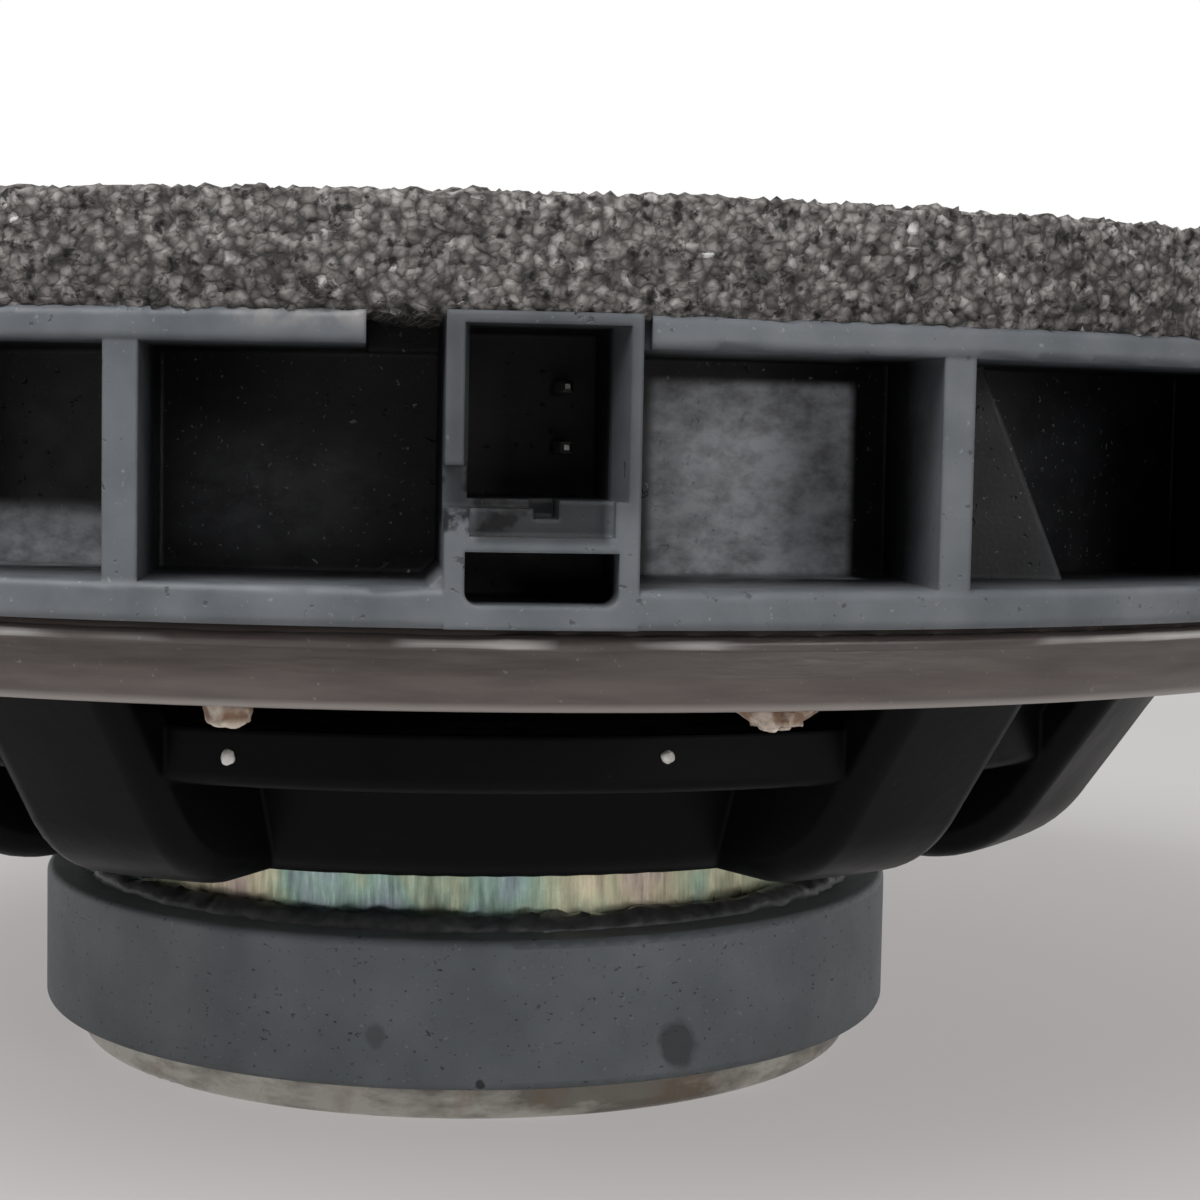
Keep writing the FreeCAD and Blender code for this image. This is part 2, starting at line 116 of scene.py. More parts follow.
def new_finish(name, colour, roughness, metallic=0.0, **sockets):
    """Material whose Principled shader starts from plain values."""
    finish = bpy.data.materials.new(name)
    finish.use_nodes = True
    inputs = finish.node_tree.nodes["Principled BSDF"].inputs
    inputs["Base Color"].default_value = colour
    inputs["Roughness"].default_value = roughness
    inputs["Metallic"].default_value = metallic
    for key, value in sockets.items():
        inputs[key.replace("_", " ")].default_value = value
    return finish


def add_node(finish, kind, inputs=None, **settings):
    """One node; each input is a value or another node's output."""
    node = finish.node_tree.nodes.new(kind)
    for key, value in settings.items():
        setattr(node, key, value)
    for key, value in (inputs or {}).items():
        if isinstance(value, bpy.types.NodeSocket):
            finish.node_tree.links.new(value, node.inputs[key])
        else:
            node.inputs[key].default_value = value
    return node


def plug(finish, key, output):
    """Output linked to the Principled shader."""
    shader = finish.node_tree.nodes["Principled BSDF"]
    finish.node_tree.links.new(output, shader.inputs[key])


def place(finish, stretch=(1, 1, 1)):
    """Object coordinates, stretched."""
    coordinates = add_node(finish, "ShaderNodeTexCoord").outputs["Object"]
    return add_node(finish, "ShaderNodeMapping", {"Vector": coordinates, "Scale": stretch}).outputs["Vector"]


def noise(finish, scale, detail=3.0, stretch=(1, 1, 1), rough=0.5):
    """Cloudy pattern from 0 to 1."""
    inputs = {"Vector": place(finish, stretch), "Scale": scale, "Detail": detail, "Roughness": rough}
    return add_node(finish, "ShaderNodeTexNoise", inputs).outputs["Fac"]


def ramp(finish, value, *stops):
    """Colours, or greys as plain numbers, at places along a value from 0 to 1."""
    node = add_node(finish, "ShaderNodeValToRGB", {"Fac": value})
    elements = node.color_ramp.elements
    while len(elements) < len(stops):
        elements.new(0.5)
    for element, (position, colour) in zip(elements, stops):
        element.position = position
        element.color = colour if isinstance(colour, tuple) else (colour, colour, colour, 1)
    return node.outputs["Color"]


def mix(finish, share, first, second, kind="MIX"):
    """Colour mix; first and second are colours or outputs."""
    inputs = {MIX_SHARE: share, MIX_FIRST: first, MIX_SECOND: second}
    return add_node(finish, "ShaderNodeMix", inputs, data_type="RGBA", blend_type=kind).outputs[MIX_COLOUR]


def math_node(finish, operation, first, second):
    """One sum; first and second are numbers or outputs."""
    return add_node(finish, "ShaderNodeMath", {0: first, 1: second}, operation=operation).outputs[0]


def bump(finish, height, depth, strength=1.0, under=None):
    """Normal from a height between 0 and 1 that stands for a depth in metres."""
    inputs = {"Height": height, "Distance": depth, "Strength": strength}
    if under is not None:
        inputs["Normal"] = under
    return add_node(finish, "ShaderNodeBump", inputs).outputs["Normal"]


print("helpers ready")

# %% [markdown]
# Some marks lie at one place on a piece. Two helpers measure where a point of the surface is, along one axis
# or away from the speaker's axis, and another turns such a measure into a share between 0 and 1 that a mix
# can use. A spot and a soft box give that share at once.

# %% Helpers for places
SPOT_LUMPS = 800
SPOT_EDGE = 1.1


def along(finish, value, start, end, low=0.0, high=1.0, kind="LINEAR"):
    """Goes from low to high while a value goes from start to end."""
    limits = {"Value": value, "From Min": start, "From Max": end, "To Min": low, "To Max": high}
    return add_node(finish, "ShaderNodeMapRange", limits, interpolation_type=kind).outputs["Result"]


def coordinate(finish, axis):
    """Place along one axis in metres."""
    return add_node(finish, "ShaderNodeSeparateXYZ", {0: place(finish)}).outputs[axis]


def reach(finish):
    """Distance from the speaker's axis in metres."""
    flat = add_node(finish, "ShaderNodeVectorMath", {0: place(finish), 1: (1, 1, 0)}, operation="MULTIPLY")
    length = add_node(finish, "ShaderNodeVectorMath", {0: flat.outputs["Vector"]}, operation="LENGTH")
    return length.outputs["Value"]


def spot(finish, middle, radius):
    """1 at a point, given in mm, and 0 from an uneven edge at about radius on."""
    coordinates = add_node(finish, "ShaderNodeTexCoord").outputs["Object"]
    inputs = {0: coordinates, 1: Vector(middle) * MM}
    distance = add_node(finish, "ShaderNodeVectorMath", inputs, operation="DISTANCE").outputs["Value"]
    edge = math_node(finish, "MULTIPLY", noise(finish, SPOT_LUMPS / radius, 4), SPOT_EDGE * radius * MM)
    distance = math_node(finish, "ADD", distance, edge)
    distance = math_node(finish, "SUBTRACT", distance, SPOT_EDGE / 2 * radius * MM)
    return along(finish, distance, 0.0, radius * MM, 1.0, 0.0)


def patch(finish, low, high, soft):
    """1 inside a box between two corners in mm, fading to 0 over a soft margin."""
    parts = add_node(finish, "ShaderNodeSeparateXYZ", {0: place(finish)}).outputs
    share = None
    for axis, start, end in zip("XYZ", low, high):
        for edge, inner in ((start, start + soft), (end, end - soft)):
            side = along(finish, parts[axis], edge * MM, inner * MM, kind="SMOOTHSTEP")
            share = side if share is None else math_node(finish, "MULTIPLY", share, side)
    return share


def lay_over(finish, base, share, strength, colour):
    """Base with a share of another colour over it."""
    return mix(finish, math_node(finish, "MULTIPLY", share, strength), base, paint(*colour))


print("places ready")

# %% [markdown]
# ## The foam ring
# The foam is coarse and open, so its outline is crumbly. Its section is a rectangle with rounded corners,
# made from a plane, and a spin about the speaker's axis turns it into a ring. Three Displace modifiers then
# move the skin: clouds of a few millimetres for the worn edge, cells under a millimetre for the beads, and
# small clouds for the torn fibres.

# %% Foam section
FOAM_LOW, FOAM_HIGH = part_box("foam_gasket")
FOAM_OUTER = FOAM_HIGH.x
FOAM_WIDTH = 15.3 * MM
FOAM_FLOOR, FOAM_TOP = FOAM_LOW.z, FOAM_HIGH.z
FOAM_SKIN = 0.05 * MM
FOAM_CORNER = 0.7 * MM
FOAM_CORNER_STEPS = 3
FOAM_SEAT = 0.4 * MM

bpy.ops.object.select_all(action="DESELECT")
bpy.ops.mesh.primitive_plane_add(size=1)
foam = bpy.context.object
foam.name = "foam_ring"
bpy.ops.object.mode_set(mode="EDIT")
bpy.ops.mesh.delete(type="ONLY_FACE")
bpy.ops.mesh.select_all(action="SELECT")
bpy.ops.transform.rotate(value=math.pi / 2, orient_axis="X", center_override=(0, 0, 0))
foam_size = (FOAM_WIDTH - 2 * FOAM_SKIN, 1, FOAM_TOP - FOAM_FLOOR - FOAM_SKIN + FOAM_SEAT)
bpy.ops.transform.resize(value=foam_size, center_override=(0, 0, 0))
foam_middle = (FOAM_OUTER - FOAM_WIDTH / 2, 0, (FOAM_FLOOR + FOAM_TOP - FOAM_SKIN - FOAM_SEAT) / 2)
bpy.ops.transform.translate(value=foam_middle)
bpy.ops.mesh.bevel(offset=FOAM_CORNER, segments=FOAM_CORNER_STEPS, affect="VERTICES")
print("section corners:", len(bmesh.from_edit_mesh(foam.data).verts))

# %% Foam spin
FOAM_CUTS = {"outer": 17, "top": 15, "inner": 7, "bottom": 2}
FOAM_STEPS = 1400
FOAM_MERGE = 0.02 * MM


def foam_side(edge):
    """Name of the section's side that a long edge lies on."""
    middle = (edge.verts[0].co + edge.verts[1].co) / 2
    if abs(edge.verts[0].co.z - edge.verts[1].co.z) > FOAM_CORNER:
        return "outer" if middle.x > foam_middle[0] else "inner"
    return "top" if middle.z > foam_middle[2] else "bottom"


for side_name, cuts in FOAM_CUTS.items():
    section = bmesh.from_edit_mesh(foam.data)
    for edge in section.edges:
        long_edge = edge.calc_length() > 2 * FOAM_CORNER
        edge.select_set(long_edge and foam_side(edge) == side_name)
    bpy.ops.mesh.subdivide(number_cuts=cuts)
bpy.ops.mesh.select_all(action="SELECT")
bpy.ops.mesh.spin(steps=FOAM_STEPS, angle=2 * math.pi, center=(0, 0, 0), axis=(0, 0, 1))
bpy.ops.mesh.select_all(action="SELECT")
bpy.ops.mesh.remove_doubles(threshold=FOAM_MERGE)
bpy.ops.mesh.normals_make_consistent(inside=False)
bpy.ops.object.mode_set(mode="OBJECT")
bpy.ops.object.transform_apply(location=True, rotation=True, scale=True)
print("foam skin:", len(foam.data.polygons), "faces")


# %% Foam beads
def pick(piece):
    """Select one piece alone and make it active."""
    bpy.ops.object.select_all(action="DESELECT")
    piece.select_set(True)
    bpy.context.view_layer.objects.active = piece


def lumps(name, width, kind="CLOUDS"):
    """Texture with lumps of a given width."""
    texture = bpy.data.textures.new(name, kind)
    texture.noise_scale = width
    return texture


def displace(piece, texture, strength, middle):
    """Displace modifier, applied."""
    pick(piece)
    modifier = piece.modifiers.new(texture.name, "DISPLACE")
    modifier.texture = texture
    modifier.texture_coords = "LOCAL"
    modifier.strength = strength
    modifier.mid_level = middle
    bpy.ops.object.modifier_apply(modifier=modifier.name)


displace(foam, lumps("worn_edge", width=3.5 * MM), strength=0.6 * MM, middle=0.48)
displace(foam, lumps("beads", width=0.5 * MM, kind="VORONOI"), strength=-0.6 * MM, middle=0.42)
displace(foam, lumps("fibres", width=0.4 * MM), strength=0.55 * MM, middle=0.5)
bpy.ops.object.shade_smooth()
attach(foam, "frame")
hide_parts("foam_gasket")
print("foam ring:", len(foam.data.vertices), "points")

# %% [markdown]
# ## The soft pieces that the cone carries
# The surround and the spider are held at their outer edge by the frame and at their inner edge by the
# cone. The surround is one thin sheet, a half roll with a flat land on each side. Its section starts as a
# circle that a bisect cuts at the height of the lands, the two ends are drawn out, and the spin makes it
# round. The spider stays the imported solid's shape, so a copy of that is enough.

# %% Surround section
ROLL_RADIUS = 4.0 * MM
ROLL_MIDDLE = 58.0 * MM
ROLL_POINTS = 64
SURROUND_SHEET = 0.8 * MM
LAND_INNER = 51.0 * MM
LAND_CURVE = 0.5 * MM
LAND_CURVE_STEPS = 4
surround_low, surround_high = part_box("surround")
land_top = surround_low.z + SURROUND_SHEET


def select_nearest(piece, target):
    """In edit mode, select only the point that lies nearest to a place."""
    bpy.ops.mesh.select_all(action="DESELECT")
    points = bmesh.from_edit_mesh(piece.data).verts
    min(points, key=lambda point: (point.co - target).length).select_set(True)


bpy.ops.object.select_all(action="DESELECT")
bpy.ops.mesh.primitive_circle_add(
    vertices=ROLL_POINTS, radius=ROLL_RADIUS, location=(ROLL_MIDDLE, 0, surround_low.z),
    rotation=(math.pi / 2, 0, 0),
)
surround = bpy.context.object
surround.name = "surround_roll"
bpy.ops.object.transform_apply(location=True, rotation=True, scale=True)
bpy.ops.object.mode_set(mode="EDIT")
bpy.ops.mesh.select_all(action="SELECT")
bpy.ops.mesh.bisect(plane_co=(0, 0, land_top), plane_no=(0, 0, 1), clear_inner=True)
foot = (ROLL_RADIUS ** 2 - SURROUND_SHEET ** 2) ** 0.5
for foot_x, land_end in ((ROLL_MIDDLE - foot, LAND_INNER), (ROLL_MIDDLE + foot, surround_high.x)):
    corner = Vector((foot_x, 0, land_top))
    select_nearest(surround, corner)
    bpy.ops.mesh.extrude_vertices_move(TRANSFORM_OT_translate={"value": (land_end - foot_x, 0, 0)})
    select_nearest(surround, corner)
    bpy.ops.mesh.bevel(offset=LAND_CURVE, segments=LAND_CURVE_STEPS, affect="VERTICES")
print("surround section:", len(bmesh.from_edit_mesh(surround.data).verts), "points")

# %% Surround spin
SURROUND_STEPS = 360
SURROUND_MERGE = 0.01 * MM
SMOOTH_ANGLE = math.radians(35)
bpy.ops.mesh.select_all(action="SELECT")
bpy.ops.mesh.spin(steps=SURROUND_STEPS, angle=2 * math.pi, center=(0, 0, 0), axis=(0, 0, 1))
bpy.ops.mesh.select_all(action="SELECT")
bpy.ops.mesh.remove_doubles(threshold=SURROUND_MERGE)
bpy.ops.mesh.normals_make_consistent(inside=False)
crown = max(bmesh.from_edit_mesh(surround.data).faces, key=lambda face: face.calc_center_median().z)
if crown.normal.z < 0:
    bpy.ops.mesh.flip_normals()
bpy.ops.object.mode_set(mode="OBJECT")
sheet = surround.modifiers.new("sheet", "SOLIDIFY")
sheet.thickness = SURROUND_SHEET
sheet.offset = -1
sheet.use_even_offset = True
bpy.ops.object.modifier_apply(modifier=sheet.name)
bpy.ops.object.shade_smooth_by_angle(angle=SMOOTH_ANGLE)
print("surround:", len(surround.data.polygons), "faces")

# %% Surround and spider follow the cone
COPY_MERGE = 0.001 * MM
SURROUND_BEND = (62.0 * MM, 54.8 * MM)
SPIDER_BEND = (55.0 * MM, 14.5 * MM)


def copy_of(node_name, piece_name):
    """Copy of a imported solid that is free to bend."""
    source = nodes[node_name]
    piece = source.copy()
    piece.data = source.data.copy()
    piece.parent = None
    piece.matrix_world = source.matrix_world.copy()
    piece.name = piece_name
    bpy.context.collection.objects.link(piece)
    pick(piece)
    bpy.ops.object.transform_apply(location=True, rotation=True, scale=True)
    bpy.ops.object.mode_set(mode="EDIT")
    bpy.ops.mesh.select_all(action="SELECT")
    bpy.ops.mesh.remove_doubles(threshold=COPY_MERGE)
    bpy.ops.object.mode_set(mode="OBJECT")
    bpy.ops.object.shade_smooth_by_angle(angle=SMOOTH_ANGLE)
    return piece


def bend_round(piece, node_name, outer, inner):
    """The piece follows the frame at its outer radius and the cone at its inner one."""
    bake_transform(piece, "frame", "cone_assembly", start=(outer, 0, 0), end=(inner, 0, 0))
    weights = piece.data.attributes["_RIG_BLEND"].data
    for vertex, weight in zip(piece.data.vertices, weights):
        share = (outer - vertex.co.xy.length) / (outer - inner)
        share = min(max(share, 0.0), 1.0)
        weight.value = share * share * (3 - 2 * share)
    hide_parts(node_name)


bend_round(surround, "surround", *SURROUND_BEND)
spider = copy_of("spider", "spider_cloth")
bend_round(spider, "spider", *SPIDER_BEND)
print("spider:", len(spider.data.polygons), "faces")

# %% [markdown]
# ## The leads
# Two limp braided leads bring the current from the frame to the moving cone. Each follows a smooth line
# through six control points and is woven from three strands, so every strand is a thin tube that winds
# around points read from that line.

# %% Line of a lead
LEAD_DIAMETER = 1.2 * MM
LEAD_ROUTE = (
    (5.5, -70.8, 41.8), (5.6, -65.5, 40.9), (6.6, -60.0, 38.6),
    (7.4, -53.5, 36.4), (7.8, -47.0, 35.9), (8.0, -40.3, 37.4),
)
LINE_STEPS = 24


def smooth_line(name, points):
    """Points along a NURBS spline with these control points."""
    curve = bpy.data.curves.new(name, "CURVE")
    curve.dimensions = "3D"
    curve.resolution_u = LINE_STEPS
    spline = curve.splines.new("NURBS")
    spline.points.add(len(points) - 1)
    for knot, point in zip(spline.points, points):
        knot.co = (*point, 1)
    spline.order_u = 3
    spline.use_endpoint_u = True
    holder = bpy.data.objects.new(name, curve)
    line = bpy.data.meshes.new_from_object(holder)
    path = [vertex.co.copy() for vertex in line.vertices]
    bpy.data.objects.remove(holder)
    return path


print("control points of a lead:", len(LEAD_ROUTE))

# %% Strands of a lead
STRANDS = 3
STRAND_RADIUS = 0.3 * MM
STRAND_CIRCLE = LEAD_DIAMETER / 2 - STRAND_RADIUS
STRAND_SMOOTH = math.radians(50)
LAY_LENGTH = 3.2 * MM
TUBE_SIDES = 8


def tube_rings(path, turn):
    """Corner points of a strand's rings, which wind around the path."""
    rings, way = [], 0.0
    for index, point in enumerate(path):
        ahead = path[min(index + 1, len(path) - 1)]
        behind = path[max(index - 1, 0)]
        forward = (ahead - behind).normalized()
        side = forward.cross(Vector((0, 0, 1))).normalized()
        up = side.cross(forward)
        way += (point - behind).length
        angle = turn + 2 * math.pi * way / LAY_LENGTH
        middle = point + STRAND_CIRCLE * (math.cos(angle) * side + math.sin(angle) * up)
        ring = []
        for corner in range(TUBE_SIDES):
            bearing = 2 * math.pi * corner / TUBE_SIDES
            ring.append(middle + STRAND_RADIUS * (math.cos(bearing) * side + math.sin(bearing) * up))
        rings.append(ring)
    return rings


def braided_lead(name, side):
    """Mesh of the strands along one lead, and the path it follows."""
    path = smooth_line(name + "_line", [Vector((side * x, y, z)) * MM for x, y, z in LEAD_ROUTE])
    points, faces = [], []
    for strand in range(STRANDS):
        rings = tube_rings(path, 2 * math.pi * strand / STRANDS)
        first = len(points)
        for ring in rings:
            points.extend(ring)
        for row in range(len(rings) - 1):
            low = first + row * TUBE_SIDES
            high = low + TUBE_SIDES
            for corner in range(TUBE_SIDES):
                beside = (corner + 1) % TUBE_SIDES
                faces.append((low + corner, low + beside, high + beside, high + corner))
        last = first + (len(rings) - 1) * TUBE_SIDES
        faces.append(tuple(range(first + TUBE_SIDES - 1, first - 1, -1)))
        faces.append(tuple(range(last, last + TUBE_SIDES)))
    mesh = bpy.data.meshes.new(name)
    mesh.from_pydata(points, [], faces)
    piece = bpy.data.objects.new(name, mesh)
    bpy.context.collection.objects.link(piece)
    pick(piece)
    bpy.ops.object.mode_set(mode="EDIT")
    bpy.ops.mesh.select_all(action="SELECT")
    bpy.ops.mesh.normals_make_consistent(inside=False)
    bpy.ops.object.mode_set(mode="OBJECT")
    bpy.ops.object.shade_smooth_by_angle(angle=STRAND_SMOOTH)
    return piece, path


print("strands in a lead:", STRANDS)

# %% Leads
leads = []
for node_name, side in (("lead_right", 1), ("lead_left", -1)):
    lead, path = braided_lead(node_name.replace("lead", "braid"), side)
    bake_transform(lead, "frame", "cone_assembly", start=(0, -65.5 * MM, 0), end=(0, -40.3 * MM, 0))
    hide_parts(node_name)
    leads.append(lead)

# %% [markdown]
# ## Glue and adhesive
# The maker's glue shows in a few places: two cream chips under the seal, small white specks on the basket's
# rim, and a dark bead squeezed out where the plate sits on the magnet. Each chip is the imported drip, drawn
# in toward its lower edge and given a worn skin; the bead is a torus whose skin is made uneven.
# A chip is drawn in by steps: below a share of its height, its width shrinks by a factor.

# %% Glue chips
CHIP_TAPER = {
    -1: ((0.7, 0.95), (0.45, 0.92), (0.2, 0.9)),
    1: ((0.7, 0.85), (0.45, 0.76), (0.2, 0.66)),
}
CHIP_SHIFT = {-1: -0.3 * MM, 1: -1.5 * MM}
CHIP_CUTS = 2

drips = copy_of("adhesive_drips", "glue_chips")
bpy.ops.object.mode_set(mode="EDIT")
bpy.ops.mesh.select_all(action="SELECT")
bpy.ops.mesh.subdivide(number_cuts=CHIP_CUTS)
for side, steps in CHIP_TAPER.items():
    chip = [point.co.copy() for point in bmesh.from_edit_mesh(drips.data).verts if point.co.x * side > 0]
    chip_x = sum(point.x for point in chip) / len(chip)
    low = min(point.z for point in chip)
    high = max(point.z for point in chip)
    for share, width in steps:
        bpy.ops.mesh.select_all(action="DESELECT")
        for point in bmesh.from_edit_mesh(drips.data).verts:
            point.select_set(point.co.x * side > 0 and point.co.z < low + share * (high - low))
        bpy.ops.transform.resize(value=(width, 1, 1), center_override=(chip_x, 0, 0))
    for point in bmesh.from_edit_mesh(drips.data).verts:
        point.select_set(point.co.x * side > 0)
    bpy.ops.transform.translate(value=(CHIP_SHIFT[side], 0, 0))
    print("chip at", round(chip_x / MM, 1), "mm, from", round(low / MM, 1), "to", round(high / MM, 1), "mm")
bpy.ops.object.mode_set(mode="OBJECT")
displace(drips, lumps("chip_skin", width=0.9 * MM), strength=0.35 * MM, middle=0.6)
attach(drips, "frame")
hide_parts("adhesive_drips")
print("glue chips:", len(drips.data.polygons), "faces")

# %% Glue specks
SPECKS = ((-20.1, -58.15, 33.0, 0.55), (11.0, -60.55, 33.5, 0.5))

specks = []
for number, (x, y, z, radius) in enumerate(SPECKS):
    bpy.ops.object.select_all(action="DESELECT")
    middle = Vector((x, y, z)) * MM
    bpy.ops.mesh.primitive_ico_sphere_add(subdivisions=3, radius=radius * MM, location=middle)
    speck = bpy.context.object
    speck.name = f"glue_speck_{number}"
    bpy.ops.object.transform_apply(location=True, rotation=True, scale=True)
    displace(speck, lumps("speck_skin", width=0.5 * MM), strength=0.3 * MM, middle=0.5)
    bpy.ops.object.shade_smooth()
    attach(speck, "frame")
    specks.append(speck)
print("specks:", len(specks))

# %% [markdown]
# The seal has a moulded lip just below the ring, and the light runs along it as a bright line. Like the
# squeezed bead it is a thin torus, here slightly wavy as soft rubber is.

# %% Squeezed bead and seal lip
PLATE_LOW, PLATE_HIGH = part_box("top_plate")
BEAD_CIRCLE = PLATE_HIGH.x + 1.2 * MM
BEAD_RADIUS = 1.7 * MM
BEAD_FLAT = 0.6
SEAL_LOW, SEAL_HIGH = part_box("rear_seal")
LIP_RADIUS = 0.55 * MM
LIP_PROUD = 0.2 * MM
LIP_DROP = 1.15 * MM
HOOP_STEPS = 256


def hoop(name, circle, radius, sides, height):
    """Torus round the speaker's axis."""
    bpy.ops.object.select_all(action="DESELECT")
    bpy.ops.mesh.primitive_torus_add(
        major_radius=circle, minor_radius=radius, major_segments=HOOP_STEPS, minor_segments=sides,
        location=(0, 0, height),
    )
    piece = bpy.context.object
    piece.name = name
    return piece


squeeze = hoop("squeezed_bead", BEAD_CIRCLE, BEAD_RADIUS, sides=12, height=PLATE_LOW.z)
squeeze.scale.z = BEAD_FLAT
bpy.ops.object.transform_apply(location=True, rotation=True, scale=True)
displace(squeeze, lumps("bead_skin", width=1.5 * MM), strength=1.5 * MM, middle=0.5)
bpy.ops.object.shade_smooth()
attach(squeeze, "frame")

lip_circle = SEAL_HIGH.x - LIP_RADIUS + LIP_PROUD
seal_lip = hoop("seal_lip", lip_circle, LIP_RADIUS, sides=16, height=SEAL_HIGH.z - LIP_DROP)
bpy.ops.object.transform_apply(location=True, rotation=True, scale=True)
displace(seal_lip, lumps("lip_skin", width=6 * MM), strength=0.2 * MM, middle=0.5)
bpy.ops.object.shade_smooth()
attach(seal_lip, "frame")
print("bead:", len(squeeze.data.polygons), "faces, seal lip:", len(seal_lip.data.polygons), "faces")

# %% [markdown]
# ## Finishes, from the top down
# The foam's colour follows its beads: every cell has its own tone, the brightest as painted glints, and the
# gaps and pores between the cells are darkened as painted shade. It is painted paler along the top edge, as
# light that passes through, and darker near the ring, as painted shade.

# %% Foam finish
FINISHES = {}
foam_finish = new_finish("foam", paint(112, 108, 105), 0.9, Specular_IOR_Level=0.25)
wander = add_node(
    foam_finish, "ShaderNodeTexNoise", {"Vector": place(foam_finish), "Scale": 1100, "Detail": 3},
)
shift = {0: wander.outputs["Color"], 1: (0.9 * MM,) * 3, 2: place(foam_finish)}
crooked = add_node(foam_finish, "ShaderNodeVectorMath", shift, operation="MULTIPLY_ADD").outputs["Vector"]
bead_cells = add_node(foam_finish, "ShaderNodeTexVoronoi", {"Vector": crooked, "Scale": 1500})
# painted highlight: the brightest cells stand for struts that catch the light; the rest is each cell's tone
bead_tone_and_glint = ramp(
    foam_finish, bead_cells.outputs["Color"],
    (0.0, paint(74, 71, 69)), (0.5, paint(116, 112, 109)),
    (0.86, paint(142, 138, 135)), (1.0, paint(206, 204, 202)),
)
# painted shade: the gaps between the cells are darkened as shade in the open foam
gap_shade = ramp(foam_finish, bead_cells.outputs["Distance"], (0.22, 1.08), (0.75, 0.28))
clump = ramp(foam_finish, noise(foam_finish, 300, 4), (0.35, 0.72), (0.65, 1.08))
# painted shade: the pores are darkened as shade in the holes
pore_shade = ramp(foam_finish, noise(foam_finish, 1300, 4), (0.33, 0.18), (0.43, 1.03))
# painted light and shade: paler toward the top as light passing through, darker toward the ring as shade
height_light_and_shade = along(foam_finish, coordinate(foam_finish, "Z"), FOAM_FLOOR, FOAM_TOP, low=0.85, high=1.25)
foam_colour = bead_tone_and_glint
for layer in (gap_shade, clump, pore_shade, height_light_and_shade):
    foam_colour = mix(foam_finish, 1.0, foam_colour, layer, "MULTIPLY")
plug(foam_finish, "Base Color", foam_colour)
foam_relief = math_node(foam_finish, "MULTIPLY", gap_shade, pore_shade)
plug(foam_finish, "Normal", bump(foam_finish, foam_relief, 0.3 * MM, 0.7))
FINISHES["foam"] = foam_finish
print("foam finish:", len(foam_finish.node_tree.nodes), "nodes")

# %% [markdown]
# The moulded ring is satin plastic with fine specks, small pits and a faint mottle from the mould. Its edges
# keep the plastic's grey, and its pockets are darkened toward the back as painted shade, so the colour goes
# with the distance from the axis.

# %% Ring plastic
POCKET_BACK, POCKET_MOUTH = 80 * MM, 87.5 * MM
plastic = new_finish("ring_plastic", paint(90, 94, 98), 0.42, Specular_IOR_Level=0.32)
mottle = noise(plastic, 220, 4)
edge_grey = ramp(plastic, mottle, (0.3, paint(80, 84, 88)), (0.7, paint(98, 101, 105)))
# painted shade: the pockets' back walls get a near-black grey that fades to the plastic's grey at their
# mouths
pocket_shade_grey = ramp(plastic, mottle, (0.3, paint(12, 12, 14)), (0.7, paint(27, 28, 31)))
ring_reach = reach(plastic)
pocket_shade_fade = along(plastic, ring_reach, POCKET_BACK, POCKET_MOUTH)
plastic_base = mix(plastic, pocket_shade_fade, pocket_shade_grey, edge_grey)
fleck = ramp(plastic, noise(plastic, 2600, 2), (0.68, 0.0), (0.76, 0.6))
plastic_base = mix(plastic, fleck, plastic_base, paint(128, 131, 134))
plastic_pits = ramp(plastic, noise(plastic, 1250, 3), (0.27, 1.0), (0.33, 0.0))
plastic_base = lay_over(plastic, plastic_base, plastic_pits, 0.55, (40, 42, 45))
rounded = add_node(plastic, "ShaderNodeBevel", {"Radius": 0.45 * MM}, samples=4).outputs["Normal"]
grain = bump(plastic, noise(plastic, 3200, 2), 0.03 * MM, 0.4, rounded)
pitted = bump(plastic, plastic_pits, -0.12 * MM, 0.5, grain)
plug(plastic, "Normal", bump(plastic, mottle, 0.2 * MM, 0.15, pitted))
plug(plastic, "Roughness", ramp(plastic, noise(plastic, 500, 3), (0.3, 0.36), (0.7, 0.5)))
FINISHES["ring_plastic"] = plastic
print("ring plastic:", len(plastic.node_tree.nodes), "nodes")

# %% [markdown]
# Use has left a worn stretch of the top edge. The rest is darkening: painted shade inside the socket, in the
# slot below it and in the pocket at the far left, darker boxes over the socket and the ledge below it, and a
# ragged dark place as painted shade at the socket's broken lower corner. Each mark is a soft box in
# millimetres with a colour laid over it.

# %% Wear and grime on the ring
worn_edge = patch(plastic, (-19, -92, 61.6), (-9, -84, 64), 1.2)
worn_wave = ramp(plastic, noise(plastic, 500, 4), (0.4, 0.1), (0.6, 0.7))
plastic_base = lay_over(plastic, plastic_base, worn_edge, worn_wave, (140, 136, 134))
# painted shade: the inside of the socket and the slot below it are darkened almost to black
socket_inside = patch(plastic, (-7.2, -85, 50.2), (6.4, -68, 64), 1.0)
slot_inside = patch(plastic, (-5.6, -86.5, 44.8), (4.8, -68, 49.4), 0.6)
socket_shade = math_node(plastic, "MAXIMUM", socket_inside, slot_inside)
plastic_base = lay_over(plastic, plastic_base, socket_shade, 0.85, (2, 2, 3))
# darker boxes over the socket and the ledge below it, and painted shade in the far-left pocket
DARK_BOXES = (
    ((-7.5, -92, 50.5), (6.5, -70, 64), 2.0, 0.5, (30, 31, 34)),
    ((-46, -80, 51.0), (-24.5, -58, 64), 1.5, 0.8, (6, 6, 7)),
    ((-4.6, -92, 49.6), (3.7, -70, 53.6), 0.6, 0.8, (24, 25, 27)),
)
for low, high, soft, strength, colour in DARK_BOXES:
    plastic_base = lay_over(plastic, plastic_base, patch(plastic, low, high, soft), strength, colour)
